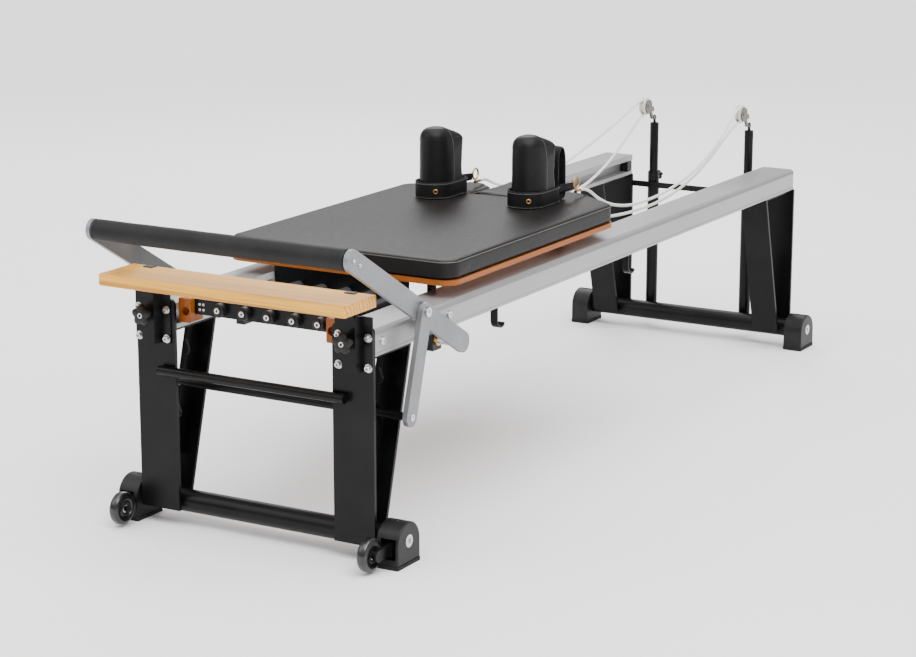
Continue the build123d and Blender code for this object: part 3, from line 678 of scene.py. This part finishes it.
def puff(obj, cap):
    """Short cloth simulation with inner pressure; no point moves further than the cap."""
    before = [v.co.copy() for v in obj.data.vertices]
    cloth = obj.modifiers.new("cloth", "CLOTH")
    cloth.settings.use_pressure = True
    cloth.settings.uniform_pressure_force = 4
    cloth.settings.effector_weights.gravity = 0
    cloth.settings.quality = 4
    scene = bpy.context.scene
    for number in range(1, 16):
        scene.frame_set(number)
    apply_modifiers(obj)
    scene.frame_set(1)
    for vertex, start in zip(obj.data.vertices, before):
        move = vertex.co - start
        if move.length > cap:
            vertex.co = start + move.normalized() * cap


def loops_in_plane(obj, point, normal):
    """Closed loops where a plane cuts the mesh."""
    bm = bmesh.new()
    bm.from_mesh(obj.data)
    geometry = bm.verts[:] + bm.edges[:] + bm.faces[:]
    cut = bmesh.ops.bisect_plane(bm, geom=geometry, plane_co=point, plane_no=normal)["geom_cut"]
    edges = [e for e in cut if isinstance(e, bmesh.types.BMEdge)]
    around = {}
    for edge in edges:
        for vertex in edge.verts:
            around.setdefault(vertex, []).append(edge.other_vert(vertex))
    loops, seen = [], set()
    for start in around:
        if start in seen:
            continue
        loop, at = [], start
        while at is not None and at not in seen:
            seen.add(at)
            loop.append(at.co.copy())
            at = next((v for v in around[at] if v not in seen), None)
        if len(loop) > 12:
            loops.append(loop)
    bm.free()
    return loops


def seam(obj, name, point, normal, radius, material, body, keep=None):
    """Raised welt where a plane cuts a cushion; keep(point) limits it to a stretch."""
    bm = bmesh.new()
    for loop in loops_in_plane(obj, point, normal):
        path = resample(loop, 0.004, True)
        for _ in range(3):
            path = [(path[i - 1] + path[i] * 2 + path[(i + 1) % len(path)]) / 4 for i in range(len(path))]
        if keep is None:
            tube(bm, path, radius, 8, closed=True)
            continue
        kept = [keep(p) for p in path]
        if not any(kept) or all(kept):
            continue
        first = next(i for i in range(len(path)) if kept[i] and not kept[i - 1])
        run = []
        for i in range(len(path)):
            p = path[(first + i) % len(path)]
            if not keep(p):
                break
            run.append(p)
        if len(run) > 3:
            tube(bm, run, radius, 8)
    return add_mesh(name, bm, material, body)


def mattress_and_headrest():
    """Two pads of one thickness, each with a welt just under its top edge, painted pale as a highlight."""
    cap, shrink = 0.002, 0.0004
    highlight_line_at, low_seam_at = (0, 0, PAD_TOP - 0.005), (0, 0, PAD_BOTTOM + 0.006)
    pad = cushion("carriage_pad", "mattress", 0.0055, cap, shrink, "carriage", "vinyl", PAD_BOTTOM)
    # pale welt under the mattress's top edge: a painted highlight
    seam(pad, "mattress_highlight_welt", highlight_line_at, (0, 0, 1), 0.0011, "painted_highlight_seam", "carriage")
    seam(pad, "mattress_low_seam", low_seam_at, (0, 0, 1), 0.0009, "black_vinyl", "carriage")
    head = cushion(
        "headrest_pad", "headrest_cushion", 0.005, cap, shrink, "headrest", "vinyl", PAD_BOTTOM)
    # pale welt under the headrest's top edge: a painted highlight
    seam(head, "headrest_highlight_welt", highlight_line_at, (0, 0, 1), 0.0011, "painted_highlight_seam", "headrest")


def domed(node):
    """Draws a rest in towards its top and slopes its crown down to the back."""
    box_low, box_high = low(node), high(node)
    centre = (box_low + box_high) / 2
    start = PAD_TOP + 0.06            # the pad is straight below this height
    set_back = 0.012                  # the crown is drawn in towards a line this far behind the middle

    def move(point):
        rise = min(max((point.z - start) / (box_high.z - start), 0), 1)
        draw = 1 - 0.06 * rise ** 2.2
        ahead = (point.x - centre.x) / (box_high.x - centre.x)
        sink = 0.02 * rise ** 3 * max(ahead + 0.1, 0)
        x = centre.x + set_back + (point.x - centre.x - set_back) * draw
        y = centre.y + (point.y - centre.y) * draw
        return Vector((x, y, point.z - sink))
    return move


def clear_of_mattress(point):
    return point.z > PAD_TOP + 0.004


def shoulder_rests():
    """Upright pads, each with a seam round its crown, one down its back and one over its sides painted pale
    as a highlight.
    """
    for side in SIDES:
        node, body = f"shoulder_rest_{side}", f"rest_{side}"
        rest = cushion(node, body, 0.0045, 0.006, 0.002, body, "black_vinyl", shape=domed(node))
        crown_at = (0, 0, high(node).z - 0.03)
        back_at = (high(node).x - 0.014, 0, 0)
        sides_at = (middle(node).x - 0.002, 0, 0)
        seam(rest, f"rest_top_seam_{side}", crown_at, (0, 0, 1), 0.0009, "black_vinyl", body)
        seam(rest, f"rest_back_seam_{side}", back_at, (1, 0, 0), 0.001, "black_vinyl", body,
             clear_of_mattress)
        # pale seam over the rest's sides: a painted highlight
        seam(rest, f"rest_side_highlight_seam_{side}", sides_at, (1, 0, 0), 0.0009, "painted_highlight_seam", body,
             clear_of_mattress)


def foam_sleeve():
    """Foam sleeve with rounded ends and the slight waviness of squeezed foam."""
    box_low, box_high = low("foam_grip"), high("foam_grip")
    centre = (box_low + box_high) / 2
    length = box_high.y - box_low.y
    outer = (box_high.z - box_low.z) / 2
    inner, lip, bevel = 0.0153, 0.006, 0.002
    profile = [(-length / 2 + 0.001, inner), (-length / 2, inner + bevel), (-length / 2, outer - lip)]
    for i in range(1, 7):
        angle = math.pi / 2 * i / 6
        profile.append((-length / 2 + lip * (1 - math.cos(angle)), outer - lip + lip * math.sin(angle)))
    for i in range(1, 60):
        y = -length / 2 + lip + (length - 2 * lip) * i / 60
        profile.append((y, outer - 0.0003 - 0.0003 * math.sin(y * 47) * math.sin(y * 19)))
    for i in range(6, -1, -1):
        angle = math.pi / 2 * i / 6
        profile.append((length / 2 - lip * (1 - math.cos(angle)), outer - lip + lip * math.sin(angle)))
    profile += [(length / 2, inner + bevel), (length / 2 - 0.001, inner)]
    bm = bmesh.new()
    lathe(bm, centre, (0, 1, 0), profile, 48)
    sleeve = add_mesh("foam_sleeve", bm, "foam", "footbar")
    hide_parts("foam_grip")


# ---- hand loops ----
STRAP_THICK = 0.0066
BAND_HEIGHT = 0.043
BAND_CORNER = 0.012                   # radius of a rest's back corners
BAND_MIDDLE = 0.0048                  # from a rest to the middle of the strap's thickness
BAND_THREAD = 0.0092                  # from a rest to the stitches on the strap


def band_path(grow, steps=26):
    """Line round a shoulder rest's foot for the left side: round nose, straight sides, square back."""
    node = "shoulder_rest_left"
    centre = middle(node)
    half = (high(node).y - low(node).y) / 2
    nose_x, back = low(node).x + half, high(node).x
    r = half + grow
    points = []
    for i in range(steps + 1):
        angle = math.pi / 2 + math.pi * i / steps
        points.append(Vector((nose_x + r * math.cos(angle), centre.y + r * math.sin(angle), 0)))
    corner = BAND_CORNER + grow
    corner_x = back - BAND_CORNER
    for quarter, corner_y in enumerate((-half + BAND_CORNER, half - BAND_CORNER)):
        for i in range(7):
            angle = -math.pi / 2 + math.pi / 2 * (quarter + i / 6)
            x, y = corner_x + corner * math.cos(angle), centre.y + corner_y + corner * math.sin(angle)
            points.append(Vector((x, y, 0)))
    return resample(points, 0.004, True)


def strap_ring(bm, place, u, v, width, thick, crown):
    """Section of a padded strap: bound flat edges and a crowned middle."""
    shape = [
        (-0.5, -0.3), (-0.5, 0.3), (-0.44, 0.42), (-0.4, 0.34), (-0.36, 0.5), (-0.15, 0.5 + crown),
        (0.15, 0.5 + crown), (0.36, 0.5), (0.4, 0.34), (0.44, 0.42), (0.5, 0.3), (0.5, -0.3),
        (0.4, -0.4), (0.0, -0.42), (-0.4, -0.4)]
    return [bm.verts.new(place + u * a * width + v * b * thick) for a, b in shape]


def hand_loops():
    """A strap round the foot of each rest, the loop that stands behind the right one, and the tails."""
    z = low("hand_loops").z + BAND_HEIGHT / 2
    up = Vector((0, 0, 1))
    pieces = []
    for side, sign in SIDES.items():
        path = band_path(BAND_MIDDLE)
        bm = bmesh.new()
        rings = []
        for i, point in enumerate(path):
            ahead = (path[(i + 1) % len(path)] - path[i - 1]).normalized()
            outward = Vector((ahead.y, -ahead.x, 0))
            place = point + up * z
            rings.append(strap_ring(bm, place, up, outward * -1, BAND_HEIGHT - 0.001, STRAP_THICK, 0.1))
        bridge(bm, rings, True, True)
        for vertex in bm.verts:
            vertex.co.y *= sign
        pieces.append(add_mesh(f"loop_band_{side}", bm, "webbing", "carriage"))
        for level, name in ((BAND_HEIGHT * 0.4, "upper"), (-BAND_HEIGHT * 0.4, "lower")):
            stitches(band_path(BAND_THREAD), z + level, sign, f"loop_stitch_{name}_{side}")
    pieces.append(standing_arch())
    eyelets()
    for piece in pieces:
        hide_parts("hand_loops")
    for tail in loop_tails():
        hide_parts("hand_loops")


def stitches(path, z, sign, name):
    """Row of separate thread stitches along a band."""
    bm = bmesh.new()
    fine = resample([p + Vector((0, 0, z)) for p in path], 0.0016, True)
    for i in range(0, len(fine) - 3, 4):
        run = [Vector((p.x, p.y * sign, p.z)) for p in fine[i:i + 3]]
        tube(bm, run, 0.00045, 5)
    return add_mesh(name, bm, "thread", "carriage")


def arch_path():
    """Middle line of the right-hand loop that stands up behind its rest, seen from the side."""
    front = high("shoulder_rest_right").x + 0.0135
    back = high("shoulder_rest_right").x + 0.0505
    bottom, shoulder, top = low("hand_loops").z + 0.005, PAD_TOP + 0.096, high("hand_loops").z - 0.004
    middle_x, half = (front + back) / 2, (back - front) / 2
    bend = 0.012
    points = [Vector((front, 0, bottom)), Vector((front, 0, shoulder))]
    for i in range(1, 20):
        angle = math.pi * (1 - i / 20)
        x, z = middle_x + half * math.cos(angle), shoulder + (top - shoulder) * math.sin(angle)
        points.append(Vector((x, 0, z)))
    points += [Vector((back, 0, shoulder)), Vector((back, 0, bottom + bend))]
    for i in range(1, 8):
        angle = math.pi / 2 * i / 7
        x, z = back - bend * (1 - math.cos(angle)), bottom + bend * (1 - math.sin(angle))
        points.append(Vector((x, 0, z)))
    return resample(points, 0.003, True)


def eyelets():
    """Plain brass eyelet on the nose of each band, turned towards the right and the foot end."""
    axis = Vector((-0.83, -0.55, 0)).normalized()
    ring = [
        (-0.002, 0.0032), (0.0002, 0.0032), (0.0009, 0.0042), (0.0009, 0.0056), (0.0001, 0.0066),
        (-0.002, 0.0066)]
    for side in SIDES:
        node = f"shoulder_rest_{side}"
        half = (high(node).y - low(node).y) / 2
        nose = Vector((low(node).x + half, middle(node).y, low("hand_loops").z + 0.021))
        bm = bmesh.new()
        lathe(bm, nose + axis * (half + 0.0094), axis, ring, 32)
        add_mesh(f"eyelet_{side}", bm, "bronze", "carriage")


def standing_arch():
    """Padded strap bent into an upright loop."""
    path = arch_path()
    centre = sum(path, Vector()) / len(path)
    side, centre_y = Vector((0, 1, 0)), -0.149
    bm = bmesh.new()
    rings = []
    for i, point in enumerate(path):
        ahead = (path[(i + 1) % len(path)] - path[i - 1]).normalized()
        outward = Vector((-ahead.z, 0, ahead.x))
        if outward.dot(point - centre) < 0:
            outward = -outward
        rings.append(strap_ring(bm, point + side * centre_y, side, outward, 0.0375, STRAP_THICK, 0.08))
    bridge(bm, rings, True, True)
    return add_mesh("loop_arch", bm, "webbing", "carriage")


def loop_tails():
    """Doubled webbing from each band's corner to its ring, with a bar of stitches."""
    pieces = []
    clip, ring_hold = 0.024, 0.0175
    stagger = 0.012                   # the right ring is this much nearer the foot end
    ring_x = high("loop_rings").x
    right_z, left_z = PAD_TOP + 0.034, PAD_TOP + 0.030
    starts = {
        "right": Vector((high("shoulder_rest_right").x + 0.004, -0.176, right_z)),
        "left": Vector((high("shoulder_rest_left").x + 0.004, 0.134, left_z))}
    ends = {
        "right": Vector((ring_x - clip - stagger - ring_hold, -0.185, right_z)),
        "left": Vector((ring_x - clip - ring_hold, 0.114, left_z))}
    section = ((-1, -0.5), (-1, 0.5), (-0.5, 0.9), (0.5, 0.9), (1, 0.5), (1, -0.5), (0.5, -0.9), (-0.5, -0.9))
    across = Vector((0, 0, 1))
    for side in SIDES:
        start, end = starts[side], ends[side]
        run = end - start
        flat = Vector((-run.y, run.x, 0)).normalized()
        bm = bmesh.new()
        rings = []
        for i in range(25):
            share = i / 24
            wide = 0.0118 - 0.0028 * share
            wave = 0.0004 * math.sin(share * 9)
            place = start.lerp(end, share) + flat * wave
            rings.append([bm.verts.new(place + across * a * wide + flat * b * 0.0012) for a, b in section])
        bridge(bm, rings)
        bm.faces.new(rings[0])
        bm.faces.new(rings[-1])
        tail = add_mesh(f"loop_tail_{side}", bm, "webbing", "carriage")
        pieces.append(tail)
        bar = bmesh.new()
        row = [end + flat * 0.0022 - run.normalized() * inset for inset in (0.012, 0.0)]
        for level in (-0.007, 0, 0.007):
            tube(bar, resample([p + across * level for p in row], 0.003), 0.0005, 5)
        add_mesh(f"tail_thread_{side}", bar, "thread", "carriage")
    return pieces


# ---- wheels and knobs ----
HUB_RADIUS = 0.0195
TYRE_CROWN = 0.012                    # height of the tyre's rounded part


def transport_wheels():
    """Skate wheels: rounded tyre, dished hub with a bearing and its shield."""
    for side in SIDES:
        node = f"caster_wheel_{side}"
        centre = middle(node)
        half = (high(node).y - low(node).y) / 2
        radius = (high(node).z - low(node).z) / 2
        tread = [(-half, HUB_RADIUS), (-half, radius - TYRE_CROWN)]
        for i in range(13):
            angle = math.pi * (i / 12 - 0.5)
            across = math.copysign(abs(math.sin(angle)) ** 0.8, angle) * half
            tread.append((across, radius - TYRE_CROWN + TYRE_CROWN * max(0.0, math.cos(angle)) ** 0.6))
        tread += [(half, radius - TYRE_CROWN), (half, HUB_RADIUS)]
        bm = bmesh.new()
        lathe(bm, centre, (0, 1, 0), tread, 72)
        wheel = add_mesh(f"skate_tyre_{side}", bm, "tyre", f"caster_{side}")
        hub_face = [(0.0035, 0.0042), (0.0035, 0.0105), (0.0015, 0.0112), (0.0015, 0.0185), (0.003, 0.0193)]
        hub = [(-half + inset, r) for inset, r in hub_face]
        hub += [(half - inset, r) for inset, r in reversed(hub_face)]
        bm = bmesh.new()
        lathe(bm, centre, (0, 1, 0), hub, 48)
        core = add_mesh(f"skate_hub_{side}", bm, "black_plastic", f"caster_{side}")
        bm = bmesh.new()
        for end in (-1, 1):
            face = end * (half - 0.0034)
            proud = face + end * 0.0008
            shield = [(face, 0.005), (proud, 0.0055), (proud, 0.0095), (face, 0.0101)]
            lathe(bm, centre, (0, 1, 0), shield, 40)
        bearing = add_mesh(f"skate_bearing_{side}", bm, "steel", f"caster_{side}")
        for piece, name in ((wheel, "tyre"), (core, "black_plastic"), (bearing, "steel")):
            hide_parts(node)


def star_knobs():
    """Five-lobed clamp knobs with a domed face, a collar and a threaded stem."""
    for side in SIDES:
        for kind, inward in (("platform_knob", 1), ("riser_knob", -1)):
            node = f"{kind}_{side}"
            one_star(node, inward)


def one_star(node, inward):
    """One knob; inward is the direction along X from its face to the part that it clamps."""
    box_low, box_high = low(node), high(node)
    length = box_high.x - box_low.x
    radius = (box_high.z - box_low.z) / 2 * 1.03
    y, z = middle(node).y, box_high.z - radius
    face = box_low.x if inward > 0 else box_high.x
    thick = length * 0.45
    # each level: share of the head's thickness, share of its radius
    head = (
        (0.0, 0.25), (0.02, 0.5), (0.06, 0.8), (0.16, 0.95), (0.5, 1.0), (0.8, 0.98), (0.95, 0.9),
        (1.0, 0.7))
    collar = ((1.02, 0.4), (1.6, 0.34), (1.62, 0.2), (length / thick, 0.19))
    steps = 80
    bm = bmesh.new()
    rings = []
    for share, grow in head + collar:
        ring = []
        for k in range(steps):
            angle = 2 * math.pi * k / steps
            lobe = 0.5 + 0.5 * math.cos(5 * (angle - math.pi / 2))
            r = radius * grow * (0.72 + 0.28 * lobe ** 0.7 if share <= 1 else 1)
            x = face + inward * thick * share
            ring.append(bm.verts.new((x, y + r * math.cos(angle), z + r * math.sin(angle))))
        rings.append(ring)
    bridge(bm, rings)
    bm.faces.new(rings[0])
    bm.faces.new(rings[-1])
    knob = add_mesh(f"{node}_star", bm, "black_plastic", node)
    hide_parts(node)


# ---- small metal pieces ----
def spring_screws():
    """Bright ring screw in the face of each spring anchor, and four small screws at the bar's left end."""
    anchor_low, anchor_high = low("spring_anchors"), high("spring_anchors")
    radius = 0.015                    # of an anchor
    first, last = anchor_low.y + radius, anchor_high.y - radius
    bm = bmesh.new()
    ring = [
        (0.003, 0.0022), (0.0004, 0.0024), (-0.0006, 0.0034), (-0.0006, 0.0062), (0.0002, 0.0074),
        (0.003, 0.0076)]
    for n in range(5):
        y = first + (last - first) * n / 4
        lathe(bm, (anchor_low.x, y, anchor_high.z - radius), (1, 0, 0), ring, 32)
    bar_face = low("spring_bar").x
    small = [(0.002, 0.0008), (-0.0008, 0.001), (-0.0012, 0.0022), (-0.0006, 0.0032), (0.002, 0.0034)]
    for y in (0.155, 0.165):
        for z in (-0.006, 0.006):
            lathe(bm, (bar_face, y, middle("spring_bar").z + z), (1, 0, 0), small, 20)
    add_mesh("spring_bar_screws", bm, "steel", "frame")


def knob_caps():
    """Steel cap set in the middle of each clamp knob."""
    for side in SIDES:
        for kind, sign in (("platform_knob", -1), ("riser_knob", 1)):
            node = f"{kind}_{side}"
            face = low(node).x if sign < 0 else high(node).x
            radius = 0.0062 if kind == "platform_knob" else 0.0036
            height = high(node).z - (high(node).y - low(node).y) / 2
            bm = bmesh.new()
            cap = [
                (-0.003, radius * 0.5), (0.0002, radius * 0.52), (0.0006, radius * 0.8), (0.0002, radius),
                (-0.003, radius)]
            lathe(bm, (face, middle(node).y, height), (sign, 0, 0), cap, 32)
            add_mesh(f"{node}_cap", bm, "steel", node)


# ---- stage ----
def add_stage():
    floor = bpy.data.objects.new("floor", bpy.data.meshes.new("floor"))
    floor.data.from_pydata([(-30, -30, 0), (30, -30, 0), (30, 30, 0), (-30, 30, 0)], [], [(0, 1, 2, 3)])
    bpy.context.collection.objects.link(floor)
    pale = Shader("pale_floor", roughness=0.9)
    cloud = pale.noise((0.6, 0.6, 0.6), 2)
    pale.color(pale.ramp(cloud, [(0.3, (0.88, 0.88, 0.88)), (0.7, (0.91, 0.91, 0.91))]))
    floor.data.materials.append(pale.material)
    world = bpy.data.worlds.new("studio")
    world.use_nodes = True
    sky_gradient(world.node_tree)
    bpy.context.scene.world = world
    add_light("key", (-2.6, -3.0, 3.8), 2.6, 110)
    add_light("fill", (-3.5, 3.0, 3.2), 3.0, 60)
    add_light("rim", (3.4, 2.4, 3.4), 2.6, 80)
    sun = bpy.data.lights.new("overhead", "SUN")
    sun.energy = 4.2
    sun.angle = math.radians(70)
    lamp = bpy.data.objects.new("overhead", sun)
    lamp.rotation_euler = (math.radians(12), math.radians(-10), 0)
    bpy.context.collection.objects.link(lamp)


def sky_gradient(tree):
    """A studio that is dim at eye level and bright overhead."""
    nodes, links = tree.nodes, tree.links
    place = nodes.new("ShaderNodeTexCoord").outputs["Generated"]
    split = nodes.new("ShaderNodeSeparateXYZ")
    links.new(place, split.inputs["Vector"])
    ramp = nodes.new("ShaderNodeValToRGB")
    ramp.color_ramp.elements[0].position = 0.05
    ramp.color_ramp.elements[0].color = (0.2, 0.2, 0.2, 1)
    ramp.color_ramp.elements[1].position = 0.8
    ramp.color_ramp.elements[1].color = (1, 1, 1, 1)
    links.new(split.outputs["Z"], ramp.inputs["Fac"])
    background = nodes["Background"]
    links.new(ramp.outputs["Color"], background.inputs["Color"])
    background.inputs["Strength"].default_value = 1.1


def add_light(name, place, size, power):
    light = bpy.data.lights.new(name, "AREA")
    light.size = size
    light.energy = power
    lamp = bpy.data.objects.new(name, light)
    lamp.location = place
    lamp.rotation_euler = (Vector((0, 0, 0.4)) - Vector(place)).to_track_quat("-Z", "Y").to_euler()
    bpy.context.collection.objects.link(lamp)


add_camera()
paint_frame()
for side in SIDES:
    rope(side)
coil_springs()
mattress_and_headrest()
shoulder_rests()
foam_sleeve()
hand_loops()
transport_wheels()
star_knobs()
spring_screws()
knob_caps()
add_stage()
